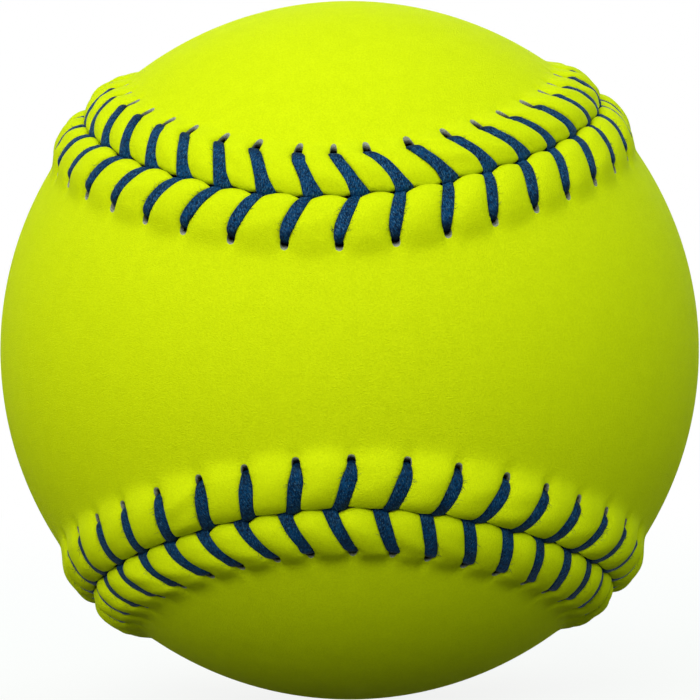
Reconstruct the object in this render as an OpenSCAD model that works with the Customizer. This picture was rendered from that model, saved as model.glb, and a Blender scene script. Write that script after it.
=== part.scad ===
// Stitched softball: a moulded core in a cement coat, two dumbbell-shaped leather
// panels and the two waxed threads of a two-needle seam. Millimetres, +Z up, with the
// origin at the ball's centre. The front panel's waist faces -Y and its lobes wrap
// round +X and -X. The back panel's waist faces +Y and its lobes wrap over and under.

/* [Ball] */
// Girth of the ball over its smooth leather
ball_girth = 304.8; // [290:0.1:320]
// Thickness of the leather
leather_t = 1.6; // [1.4:0.1:2]
// Thickness of the cement film on the core
cement_t = 0.25; // [0.15:0.05:0.5]
// Room between the flat facets under the leather and the round film
facet_room = 0.28; // [0.26:0.01:0.35]

/* [Cover panels] */
// Narrowest width of a panel, across its waist
waist_w = 40.5; // [38:0.5:44]
// Width of the cleft between the two panels' edges
cleft_w = 0.9; // [0.8:0.05:1.2]
// Distance from the seam to where the leather lies smooth on the core
band_w = 10; // [9.6:0.1:10.6]

/* [Raised seam] */
// Height of the ridge above the smooth ball
ridge_h = 2; // [1.6:0.1:2.4]
// Distance from the seam to the top of the ridge
ridge_at = 2.2; // [1.8:0.1:2.6]
// Height of the panel's edge above the smooth ball
lip_h = 1.35; // [1.1:0.05:1.5]
// Height of the shoulder between the ridge and the holes
shoulder_h = 1.45; // [1.2:0.05:1.6]
// Distance from the seam to the shoulder
shoulder_at = 4.9; // [4.6:0.1:5.2]
// Height of the leather just outside the holes
heel_h = 0.45; // [0.3:0.05:0.6]
// Distance from the seam to the heel of the slope
heel_at = 8; // [7.9:0.1:8.4]
// Depth that a thread presses into the ridge
groove_d = 0.45; // [0.3:0.05:0.6]
// Height of the tunnel under the ridge, where the other thread runs
tunnel_h = 1.5; // [1.3:0.1:1.6]
// Height of the tunnel at the holes
tunnel_heel_h = 1; // [0.95:0.05:1.1]

/* [Stitches] */
// Number of stitches round the seam, an even number
stitch_count = 88; // [84:2:92]
// Distance from the seam to the middle of a hole
hole_at = 6.6; // [6.4:0.1:6.8]
// Length of a hole, away from the seam
hole_l = 1.9; // [1.8:0.1:2.1]
// Width of a hole where the thread leaves it
hole_w = 1.3; // [1.2:0.05:1.5]
// Width of a hole at its far end
hole_tip_w = 0.5; // [0.4:0.05:0.7]
// Width of the flat thread where it lies over the leather
thread_w = 2; // [1.6:0.1:2.2]
// Width of the thread where it is pinched in a hole or in the cleft
neck_w = 0.8; // [0.7:0.05:0.9]
// Thickness of the flat thread
thread_t = 0.6; // [0.5:0.05:0.65]
// Room between the thread and the leather that it lies on
thread_room = 0.08; // [0.06:0.01:0.12]
// Room between the thread's under-run and the film, which curves up under it
run_room = 0.25; // [0.2:0.01:0.3]
// How far a front arm leads its hole where it meets the seam
front_lead = 1.5; // [1.3:0.1:1.7]
// How far a back arm leads its hole where it meets the seam
back_lead = 3.2; // [3:0.1:3.4]
// How far the back holes lag behind the front holes
back_lag = 0.4; // [0.3:0.1:0.5]

/* [Hidden] */

// Shares of the ball's radius that square off a lobe and draw it round the ball
lobe_square_share = 0.024;
lobe_reach_share = 0.059;
// Shares of a pitch by which the first stitch and the hand's drift are off
stitch_start_share = -0.087;
stitch_drift_share = 0.117;
// Share of the way to a lobe's tip at which the panel's middle line ends
middle_line_share = 0.72;
// Shares of the way from the band to the middle line at which a panel has a ring
ring_shares = [0.25, 0.5, 0.75, 0.95];
// What a cut runs past the leather on each side
cut_over = 0.5;

ball_r = ball_girth / (2 * PI);
under_r = ball_r - leather_t;
film_r = under_r - facet_room;
core_r = film_r - cement_t;
half_cleft = cleft_w / 2;
half_w = thread_w / 2;
half_neck = neck_w / 2;
half_t = thread_t / 2;
run_r = film_r + run_room + half_t;
front = -1;
back = 1;

// The seam is one closed curve on the ball, written as waves of the angle a
waist_angle = waist_w / (2 * ball_r) * 180 / PI;
small_wave = (1 - sin(waist_angle)) / 2;
large_wave = 1 - small_wave;
depth_wave = 2 * sqrt(large_wave * small_wave);

function unit(v) = v / norm(v);

function seam_direction(a) = unit([
    large_wave * sin(a) + small_wave * sin(3 * a) + lobe_square_share * sin(5 * a),
    -depth_wave * cos(2 * a) - lobe_reach_share * cos(6 * a),
    large_wave * cos(a) - small_wave * cos(3 * a) + lobe_square_share * cos(5 * a)]);

// The seam's length up to each angle, so that stitches can be spaced along it
seam_steps = 720;
angle_step = 360 / seam_steps;
function step_length(i) =
    ball_r * norm(seam_direction((i + 1) * angle_step) - seam_direction(i * angle_step));
seam_table = [for (i = 0, run = 0; i <= seam_steps; run = run + step_length(i), i = i + 1)
              [run, i * angle_step]];
seam_l = seam_table[seam_steps][0];
pitch = seam_l / stitch_count;

function seam_angle(run) = lookup(run - seam_l * floor(run / seam_l), seam_table);

// Directions at a place on the ball: along the seam, away from it, and out of the ball.
// A place is a run along the seam and a distance across it, positive on the back's side.
function place_axes(run, across) =
    let (a = seam_angle(run),
         here = seam_direction(a),
         along = unit(seam_direction(a + angle_step) - seam_direction(a - angle_step)),
         aside = cross(here, along),
         turn = across / ball_r * 180 / PI)
    [along, aside * cos(turn) - here * sin(turn), here * cos(turn) + aside * sin(turn)];

function place(run, across, radius) = radius * place_axes(run, across)[2];

// The run of a stitch's front hole
function stitch_run(k) =
    pitch * (k + stitch_start_share + stitch_drift_share * cos(360 * k / stitch_count));

// The run of an arm of thread at a distance from the seam. Past the heel it is straight.
function arm_run(side, k, distance) =
    let (lead = side == front ? front_lead : back_lead,
         lag = side == front ? 0 : back_lag)
    stitch_run(k) - lag + lead * (1 - min(distance, heel_at) / hole_at);

// Rows across the raised band, from the cleft outwards: the distance from the seam, and
// the heights above the smooth ball on a pillow of leather and in a thread's groove
rows = [
    [half_cleft, lip_h, lip_h - groove_d],
    [ridge_at, ridge_h, ridge_h - groove_d],
    [shoulder_at, shoulder_h, shoulder_h - groove_d],
    [heel_at, heel_h, heel_h]];
tunnel_rows = [[half_cleft, tunnel_h], [heel_at, tunnel_heel_h], [band_w, 0]];
function groove_height(distance) = lookup(distance, [for (row = rows) [row[0], row[2]]]);

// The run of the pillow of leather before an arm
function pillow_run(side, k, distance) =
    (arm_run(side, k - 1, distance) + arm_run(side, k, distance)) / 2;

// Three columns of points a stitch: the pillow, and both edges of the thread after it
columns = 3;
function band_ring(side, row) = [
    for (k = [0:stitch_count - 1])
        let (run = arm_run(side, k, row[0]))
        each [
            place(pillow_run(side, k, row[0]), side * row[0], ball_r + row[1]),
            place(run - half_w, side * row[0], ball_r + row[2]),
            place(run + half_w, side * row[0], ball_r + row[2])]];

// One column of points a stitch, under the leather and where it lies smooth
function plain_ring(side, distance, radius) = [
    for (k = [0:stitch_count - 1])
        place(pillow_run(side, k, distance), side * distance, radius)];

// The middle line of a panel runs along the great circle through its lobes, and a point
// beside it looks to the place on it at about the same longitude
lobe_tip = 180 - waist_angle;
function middle_direction(side, v) =
    let (longitude = side == front ? atan2(v[0], -v[1]) : atan2(v[2], v[1]),
         along = lobe_tip * middle_line_share * sin(90 * longitude / lobe_tip))
    side == front ? [sin(along), -cos(along), 0] : [0, cos(along), sin(along)];

function arc_between(from, to, share) =
    let (whole = acos(from * to))
    (from * sin((1 - share) * whole) + to * sin(share * whole)) / sin(whole);

function inner_ring(side, share, radius) = [
    for (k = [0:stitch_count - 1])
        let (edge = place(pillow_run(side, k, band_w), side * band_w, 1))
        radius * arc_between(edge, middle_direction(side, edge), share)];

// Triangles between two rings, from point i with count points to point j with fan times
// as many
function ring_faces(i, j, count, fan) = [
    for (k = [0:count - 1])
        let (next = (k + 1) % count)
        each concat(
            [for (f = [0:fan - 1]) [i + k, j + k * fan + f, j + (k * fan + f + 1) % (count * fan)]],
            [[i + k, j + next * fan, i + next]])];

// Triangles that close a ring over the middle line. The tip of one lobe lies between the
// ring's points tip - 1 and tip, and the two sides of the ring face each other from there.
function closing_faces(i, count, tip) = [
    for (k = [0:count / 2 - 2])
        let (a = i + (tip + k) % count,
             b = i + (tip + k + 1) % count,
             c = i + (tip - k - 2 + count) % count,
             d = i + (tip - k - 1 + count) % count)
        each [[a, b, c], [a, c, d]]];

function turned(faces, yes) = [for (f = faces) yes ? [f[2], f[1], f[0]] : f];

// A panel before its holes are made: rings of the outer face from the middle line out to
// the cleft, then rings of the inner face back to the middle line
module panel_leather(side) {
    n = stitch_count;
    wide = columns * n;
    tip = (side == front ? round(n / 4) : 0) + 1;
    smooth = len(ring_shares);
    outer_points = concat(
        [for (i = [smooth - 1:-1:0]) each inner_ring(side, ring_shares[i], ball_r)],
        plain_ring(side, band_w, ball_r),
        [for (i = [len(rows) - 1:-1:0]) each band_ring(side, rows[i])]);
    under_points = concat(
        [for (row = tunnel_rows) each plain_ring(side, row[0], under_r + row[1])],
        [for (share = ring_shares) each inner_ring(side, share, under_r)]);
    heel = (smooth + 1) * n;
    lip = heel + (len(rows) - 1) * wide;
    under = lip + wide;
    under_rings = len(tunnel_rows) + smooth;
    faces = concat(
        turned(closing_faces(0, n, tip), true),
        [for (i = [1:smooth]) each turned(ring_faces((i - 1) * n, i * n, n, 1), true)],
        turned(ring_faces(smooth * n, heel, n, columns), true),
        [for (i = [1:len(rows) - 1])
            each turned(ring_faces(heel + (i - 1) * wide, heel + i * wide, wide, 1), true)],
        ring_faces(under, lip, n, columns),
        [for (i = [1:under_rings - 1])
            each turned(ring_faces(under + (i - 1) * n, under + i * n, n, 1), true)],
        closing_faces(under + (under_rings - 1) * n, n, tip));
    polyhedron(points = concat(outer_points, under_points),
               faces = turned(faces, side == front), convexity = 8);
}

// A hole is wide where the thread leaves it and narrows away from the seam
module stitch_hole(side, k) {
    axes = place_axes(arm_run(side, k, hole_at), side * hole_at);
    deep = leather_t + tunnel_h + 2 * cut_over;
    foot = under_r - cut_over;
    multmatrix([for (i = [0:2]) [axes[0][i], side * axes[1][i], axes[2][i], 0]])
        translate([0, 0, foot])
            hull() {
                translate([-hole_w / 2, -hole_l / 2, 0])
                    cube([hole_w, hole_l / 2, deep]);
                translate([-hole_tip_w / 2, 0, 0])
                    cube([hole_tip_w, hole_l / 2, deep]);
            }
}

module panel(side) {
    difference() {
        panel_leather(side);
        for (k = [0:stitch_count - 1]) stitch_hole(side, k);
    }
}

// One arm of thread, from its hole's foot over the leather and down into the cleft: the
// distance from the seam, the radius, half the width, and how far the flat section has
// turned over. The corners of the path are mitred.
corner_turn = 45;
mitre = 1 / cos(corner_turn);
function over_r(distance) = ball_r + groove_height(distance) + thread_room + half_t;
arm_stations = [
    [hole_at, run_r, half_neck, corner_turn],
    [hole_at, over_r(hole_at), half_neck, 3 * corner_turn],
    [shoulder_at, over_r(shoulder_at), half_w, 4 * corner_turn],
    [ridge_at, over_r(ridge_at), half_w, 4 * corner_turn],
    [0, over_r(half_cleft), half_neck, 5 * corner_turn],
    [0, run_r, half_neck, 5 * corner_turn]];

// The four corners of the thread's flat section at a station. Arms lie on the front and
// the back by turns, and the section is the other way up on every other arm.
function section(side, k, flip, station) =
    let (run = arm_run(side, k, station[0]),
         half = half_t * (station[3] % (2 * corner_turn) == 0 ? 1 : mitre) * flip,
         out = -sin(station[3]) * half,
         up = cos(station[3]) * half)
    [for (corner = [[-1, -1], [1, -1], [1, 1], [-1, 1]])
        place(run + corner[0] * station[2], side * (station[0] + corner[1] * out),
              station[1] + corner[1] * up)];

// A needle's thread works every stitch, on the front and on the back by turns. Its ends
// are tucked under the leather.
module needle_thread(first_side) {
    stations = len(arm_stations);
    rings = stations * stitch_count;
    points = [
        for (k = [0:stitch_count - 1])
            let (even = k % 2 == 0, side = even ? first_side : -first_side)
            for (station = arm_stations)
                each section(side, k, even ? 1 : -1, station)];
    faces = concat(
        [[0, 2, 1], [0, 3, 2]],
        [for (i = [1:rings - 1]) each turned(ring_faces(4 * (i - 1), 4 * i, 4, 1), true)],
        [for (f = [[0, 1, 2], [0, 2, 3]]) [for (p = f) p + 4 * (rings - 1)]]);
    polyhedron(points = points, faces = turned(faces, first_side == front), convexity = 8);
}

module core() {
    color("white") sphere(r = core_r);
}

module cement_coat() {
    color("tan")
        difference() {
            sphere(r = film_r);
            sphere(r = core_r);
        }
}

module front_panel() {
    color([0.84, 0.92, 0.1]) panel(front);
}

module back_panel() {
    color([0.8, 0.88, 0.06]) panel(back);
}

module first_needle_thread() {
    color([0.07, 0.22, 0.45]) needle_thread(front);
}

module second_needle_thread() {
    color([0.05, 0.17, 0.38]) needle_thread(back);
}

core();
cement_coat();
front_panel();
back_panel();
first_needle_thread();
second_needle_thread();
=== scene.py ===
"""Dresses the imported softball: its leather cover, raised seam, waxed threads and core.

Lengths are in metres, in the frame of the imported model, with the origin at the ball's
centre. The front panel's waist faces -Y and the back panel's waist faces +Y.
"""
from __future__ import annotations

import logging
import math
from dataclasses import dataclass, field
from enum import Enum

import bpy
import numpy as np
from mathutils import Matrix, Vector


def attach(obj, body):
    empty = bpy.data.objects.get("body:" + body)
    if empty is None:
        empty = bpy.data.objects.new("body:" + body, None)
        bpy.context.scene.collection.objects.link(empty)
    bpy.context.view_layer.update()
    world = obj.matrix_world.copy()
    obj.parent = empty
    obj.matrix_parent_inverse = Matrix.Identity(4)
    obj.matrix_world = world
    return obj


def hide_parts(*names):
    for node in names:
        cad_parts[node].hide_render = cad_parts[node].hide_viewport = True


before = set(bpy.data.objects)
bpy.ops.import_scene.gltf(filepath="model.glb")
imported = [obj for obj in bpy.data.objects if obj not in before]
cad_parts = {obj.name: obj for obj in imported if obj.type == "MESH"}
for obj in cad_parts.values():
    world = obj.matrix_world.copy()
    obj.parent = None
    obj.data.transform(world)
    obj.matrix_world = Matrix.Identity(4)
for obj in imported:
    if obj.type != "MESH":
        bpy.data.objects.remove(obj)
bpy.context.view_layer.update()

log = logging.getLogger("softball")

MM = 0.001
SEED = 12

Span = tuple[float, float]
Colour = tuple[float, float, float, float]
Socket = bpy.types.NodeSocket


class Side(Enum):
    """The side of the seam that a cover panel lies on."""

    FRONT = -1
    BACK = 1

    @property
    def other(self) -> Side:
        """The panel across the seam."""
        return Side(-self.value)


class Face(Enum):
    """Which finish a face of the leather takes."""

    DYED = 0
    CUT = 1


class Row(Enum):
    """What a row of a panel's points follows: its upright edge, its round edge or its top."""

    WALL = 0
    ROLL = 1
    TOP = 2


def smooth_step(low: float, high: float, value: np.ndarray) -> np.ndarray:
    """Eases from 0 to 1 between two values.

    Args:
        low: The value at which the result leaves 0.
        high: The value at which the result reaches 1.
        value: The values to ease.

    Returns:
        An array of numbers from 0 to 1.
    """
    t = np.clip((value - low) / (high - low), 0.0, 1.0)
    return t * t * (3.0 - 2.0 * t)


def unit(vectors: np.ndarray) -> np.ndarray:
    """Scales vectors, along the last axis, to a length of 1."""
    return vectors / np.linalg.norm(vectors, axis=-1, keepdims=True)


@dataclass
class Seam:
    """The seam, one closed curve on the ball, and the places of its stitches.

    A run is a distance along the seam, in the direction in which it was sewn. Shares are
    shares of the ball's radius or of a pitch.
    """

    # The seam's course, and its meander between the pillows
    girth: float = 304.8 * MM
    waist_width: float = 40.5 * MM
    lobe_square_share: float = 0.024
    lobe_reach_share: float = 0.059
    middle_reach_share: float = 0.72
    meander: float = 0.22 * MM
    meander_reach: float = 4.5 * MM
    meander_softness: float = 0.02
    meander_middle: float = 0.6
    steps: int = 4320

    # The stitches and the slant of their arms
    stitch_count: int = 88
    start_share: float = -0.07
    drift_share: float = 0.117
    arm_end: float = 5.7 * MM
    heel_distance: float = 8.0 * MM
    front_bend: float = 1.3
    back_bend: float = 0.8
    front_lead: float = 1.8 * MM
    front_lead_swing: float = 0.3 * MM
    back_lead: float = 3.25 * MM
    back_lead_swing: float = 0.45 * MM
    back_lag: float = 0.52 * MM
    back_lag_swing: float = 0.31 * MM

    # The small errors of the hand, and the curl of the back arms at their holes
    hand_spread: float = 0.14 * MM
    hook: float = 0.12 * MM
    hook_share: float = 0.26
    hook_spread: float = 0.2 * MM

    # What is measured and drawn once
    angles: np.ndarray = field(init=False, repr=False)
    runs: np.ndarray = field(init=False, repr=False)
    slips: np.ndarray = field(init=False, repr=False)
    hooks: np.ndarray = field(init=False, repr=False)

    def __post_init__(self) -> None:
        """Measures the seam and draws the small errors of the hand that sewed it."""
        self.angles = np.linspace(0.0, 2.0 * math.pi, self.steps + 1)
        points = self.direction(self.angles)
        chords = np.linalg.norm(np.diff(points, axis=0), axis=1)
        self.runs = np.concatenate([[0.0], np.cumsum(chords)]) * self.radius
        rng = np.random.default_rng(SEED)
        self.slips = rng.normal(0.0, self.hand_spread, (4, self.stitch_count))
        self.hooks = rng.normal(0.0, self.hook_spread, self.stitch_count)

    @property
    def radius(self) -> float:
        """The radius of the smooth ball."""
        return self.girth / (2.0 * math.pi)

    @property
    def waist_angle(self) -> float:
        """Half the angle that a panel's waist takes up, in radians."""
        return self.waist_width / (2.0 * self.radius)

    @property
    def length(self) -> float:
        """The length of the whole seam on the smooth ball."""
        return float(self.runs[-1])

    @property
    def pitch(self) -> float:
        """The mean distance from one stitch to the next."""
        return self.length / self.stitch_count

    def direction(self, angle: np.ndarray) -> np.ndarray:
        """Gives the seam's direction from the centre of the ball.

        Args:
            angle: The curve's own angle, in radians.

        Returns:
            Unit vectors, one for each angle.
        """
        small = (1.0 - math.sin(self.waist_angle)) / 2.0
        large = 1.0 - small
        depth = 2.0 * math.sqrt(large * small)
        square = self.lobe_square_share
        x = large * np.sin(angle) + small * np.sin(3 * angle) + square * np.sin(5 * angle)
        y = -depth * np.cos(2 * angle) - self.lobe_reach_share * np.cos(6 * angle)
        z = large * np.cos(angle) - small * np.cos(3 * angle) + square * np.cos(5 * angle)
        return unit(np.stack([x, y, z], axis=-1))

    def wave(self, stitch: np.ndarray) -> np.ndarray:
        """Gives 1 where the seam crosses the front above the middle, and -1 below it."""
        return np.cos(2.0 * math.pi * stitch / self.stitch_count)

    def base_run(self, stitch: np.ndarray) -> np.ndarray:
        """Gives the run of a stitch's front hole, before the hand's error."""
        return self.pitch * (stitch + self.start_share + self.drift_share * self.wave(stitch))

    def hand_slip(self, side: Side, stitch: np.ndarray, near: np.ndarray) -> np.ndarray:
        """Gives the hand's small error at a stitch.

        Args:
            side: The panel.
            stitch: Stitch numbers, whole or not.
            near: 0 at the hole and 1 at the seam.

        Returns:
            Distances along the seam.
        """
        count = self.stitch_count
        low = np.floor(stitch).astype(int)
        part = stitch - low
        first = 0 if side is Side.FRONT else 2
        at_hole, at_seam, own_hook = (
            table[low % count] * (1.0 - part) + table[(low + 1) % count] * part
            for table in (*self.slips[first:first + 2], self.hooks))
        hooked = 1.0 - smooth_step(0.0, self.hook_share, near)
        hook = (self.hook + own_hook) * hooked if side is Side.BACK else 0.0
        return at_hole * (1.0 - near) + at_seam * near + hook

    def arm_run(self, side: Side, stitch: np.ndarray, distance: np.ndarray) -> np.ndarray:
        """Finds the run of an arm of thread, or of a place between two arms.

        Args:
            side: The panel that the arm lies on.
            stitch: Stitch numbers, whole on an arm's middle line.
            distance: Distances from the seam, without a sign.

        Returns:
            Distances along the seam.
        """
        wave = self.wave(stitch)
        if side is Side.FRONT:
            lead, lag = self.front_lead + self.front_lead_swing * wave, 0.0
            bend = self.front_bend
        else:
            lead = self.back_lead + self.back_lead_swing * wave
            lag = self.back_lag + self.back_lag_swing * wave
            bend = self.back_bend
        share = np.clip(1.0 - distance / self.arm_end, 0.0, 1.0)
        slip = self.hand_slip(side, stitch, share)
        return self.base_run(stitch) - lag + lead * share ** bend + slip

    def place(self, run: np.ndarray, across: np.ndarray, height: np.ndarray) -> np.ndarray:
        """Finds points beside the seam, which meanders between the pillows of leather.

        Args:
            run: Distances along the seam.
            across: Distances from the seam, positive on the back panel's side.
            height: Heights above the smooth ball.

        Returns:
            The points, with x, y and z on the last axis.
        """
        stitch = (run - self.front_lead) / self.pitch - self.start_share
        wave = self.wave(stitch)
        stitch = stitch - self.drift_share * wave
        swing = np.sqrt(self.meander_softness + np.sin(math.pi * stitch) ** 2) - self.meander_middle
        fade = 1.0 - smooth_step(0.0, self.meander_reach, np.abs(across))
        across = across + 2.0 * self.meander * wave * swing * fade
        angle = np.interp(run % self.length, self.runs, self.angles)
        step = 2.0 * math.pi / self.steps
        here = self.direction(angle)
        along = unit(self.direction(angle + step) - self.direction(angle - step))
        aside = np.cross(here, along)
        turn = (across / self.radius)[..., None]
        out = here * np.cos(turn) + aside * np.sin(turn)
        return (self.radius + height)[..., None] * out

    def middle_direction(self, side: Side, edges: np.ndarray) -> np.ndarray:
        """Finds where points at a panel's edge look to on its middle line.

        Args:
            side: The panel.
            edges: Unit vectors at the panel's edge.

        Returns:
            Unit vectors on the great circle through the panel's lobes.
        """
        tip = math.pi - self.waist_angle
        x, y, z = edges[:, 0], edges[:, 1], edges[:, 2]
        longitude = np.arctan2(x, -y) if side is Side.FRONT else np.arctan2(z, y)
        along = self.middle_reach_share * tip * np.sin(0.5 * math.pi * longitude / tip)
        none = np.zeros_like(along)
        if side is Side.FRONT:
            return np.stack([np.sin(along), -np.cos(along), none], axis=-1)
        return np.stack([none, np.cos(along), np.sin(along)], axis=-1)


@dataclass
class MeshParts:
    """Points, faces and marks that are gathered for one mesh."""

    points: list[np.ndarray] = field(default_factory=list)
    faces: list[np.ndarray] = field(default_factory=list)
    slots: list[np.ndarray] = field(default_factory=list)
    marks: dict[str, list[np.ndarray]] = field(default_factory=dict)
    count: int = 0

    def add_points(self, points: np.ndarray, **marks: np.ndarray) -> int:
        """Adds a block of points.

        Args:
            points: Points, with x, y and z on the last axis.
            marks: Named values, one number or one vector for each point.

        Returns:
            The number of the block's first point.
        """
        block = points.reshape(-1, 3)
        first = self.count
        self.points.append(block)
        for name, values in marks.items():
            self.marks.setdefault(name, []).append(values.reshape(len(block), -1))
        self.count += len(block)
        return first

    def add_faces(self, faces: np.ndarray, slot: int = 0) -> None:
        """Adds faces that share one material slot.

        Args:
            faces: The numbers of each face's points, on the last axis.
            slot: The number of the faces' material.
        """
        block = faces.reshape(-1, faces.shape[-1])
        self.faces.append(block)
        self.slots.append(np.full(len(block), slot))

    def build(self, name: str, turned: bool) -> bpy.types.Object:
        """Makes the mesh object.

        Args:
            name: The object's name.
            turned: Whether every face is turned over.

        Returns:
            The new object, linked to the scene.
        """
        blocks = [block[:, ::-1] if turned else block for block in self.faces]
        points = np.concatenate(self.points)
        sizes = np.concatenate([np.full(len(block), block.shape[1]) for block in blocks])
        corners = np.concatenate([block.ravel() for block in blocks])
        starts = np.concatenate([[0], np.cumsum(sizes)[:-1]])
        mesh = bpy.data.meshes.new(name)
        mesh.vertices.add(len(points))
        mesh.vertices.foreach_set("co", points.astype(np.float32).ravel())
        mesh.loops.add(len(corners))
        mesh.loops.foreach_set("vertex_index", corners.astype(np.int32))
        mesh.polygons.add(len(sizes))
        mesh.polygons.foreach_set("loop_start", starts.astype(np.int32))
        mesh.polygons.foreach_set("material_index", np.concatenate(self.slots).astype(np.int32))
        mesh.polygons.foreach_set("use_smooth", np.ones(len(sizes), dtype=bool))
        for mark, values in self.marks.items():
            rows = np.concatenate(values).astype(np.float32)
            kind, key = ("FLOAT", "value") if rows.shape[1] == 1 else ("FLOAT_VECTOR", "vector")
            layer = mesh.attributes.new(mark, kind, "POINT")
            layer.data.foreach_set(key, rows.ravel())
        mesh.update(calc_edges=True)
        mesh.validate()
        made = bpy.data.objects.new(name, mesh)
        bpy.context.scene.collection.objects.link(made)
        return made


def cover(piece: bpy.types.Object, *materials: bpy.types.Material) -> None:
    """Gives a piece its materials and keeps its faces' numbers.

    Args:
        piece: The piece.
        materials: Its materials, in the order of its faces' numbers.
    """
    numbers = np.zeros(len(piece.data.polygons), dtype=np.int32)
    piece.data.polygons.foreach_get("material_index", numbers)
    piece.data.materials.clear()
    for material in materials:
        piece.data.materials.append(material)
    piece.data.polygons.foreach_set("material_index", numbers)


def take_place(
    piece: bpy.types.Object, node: str, slot: str, *materials: bpy.types.Material
) -> None:
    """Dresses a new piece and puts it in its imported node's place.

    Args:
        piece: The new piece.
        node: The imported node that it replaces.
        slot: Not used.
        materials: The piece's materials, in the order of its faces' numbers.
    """
    cover(piece, *materials)
    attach(piece, "root")
    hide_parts(node)
    log.info("built %s with %d faces", piece.name, len(piece.data.polygons))


def grid_faces(first: int, rows: int, columns: int) -> np.ndarray:
    """Lists the quads of a grid whose rows close on themselves.

    Args:
        first: The number of the grid's first point.
        rows: How many rows of points there are.
        columns: How many points a row has.

    Returns:
        An array of rows - 1 by columns by 4 point numbers.
    """
    r, c = np.meshgrid(np.arange(rows - 1), np.arange(columns), indexing="ij")
    beside = (c + 1) % columns
    low = first + r * columns
    return np.stack([low + c, low + beside, low + columns + beside, low + columns + c], axis=-1)


def fan_faces(wide: int, narrow: int, count: int, fan: int) -> np.ndarray:
    """Lists the triangles between a wide ring of points and a narrow one.

    Args:
        wide: The number of the wide ring's first point.
        narrow: The number of the narrow ring's first point.
        count: How many points the narrow ring has.
        fan: How many times as many points the wide ring has.

    Returns:
        An array of triangles, wound like grid_faces with the wide ring first.
    """
    k = np.arange(count)
    blocks = []
    for part in range(fan):
        low = wide + k * fan + part
        high = wide + (k * fan + part + 1) % (count * fan)
        blocks.append(np.stack([low, high, narrow + k], axis=-1))
    beside = (k + 1) % count
    blocks.append(np.stack([wide + beside * fan, narrow + beside, narrow + k], axis=-1))
    return np.concatenate(blocks)


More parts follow.
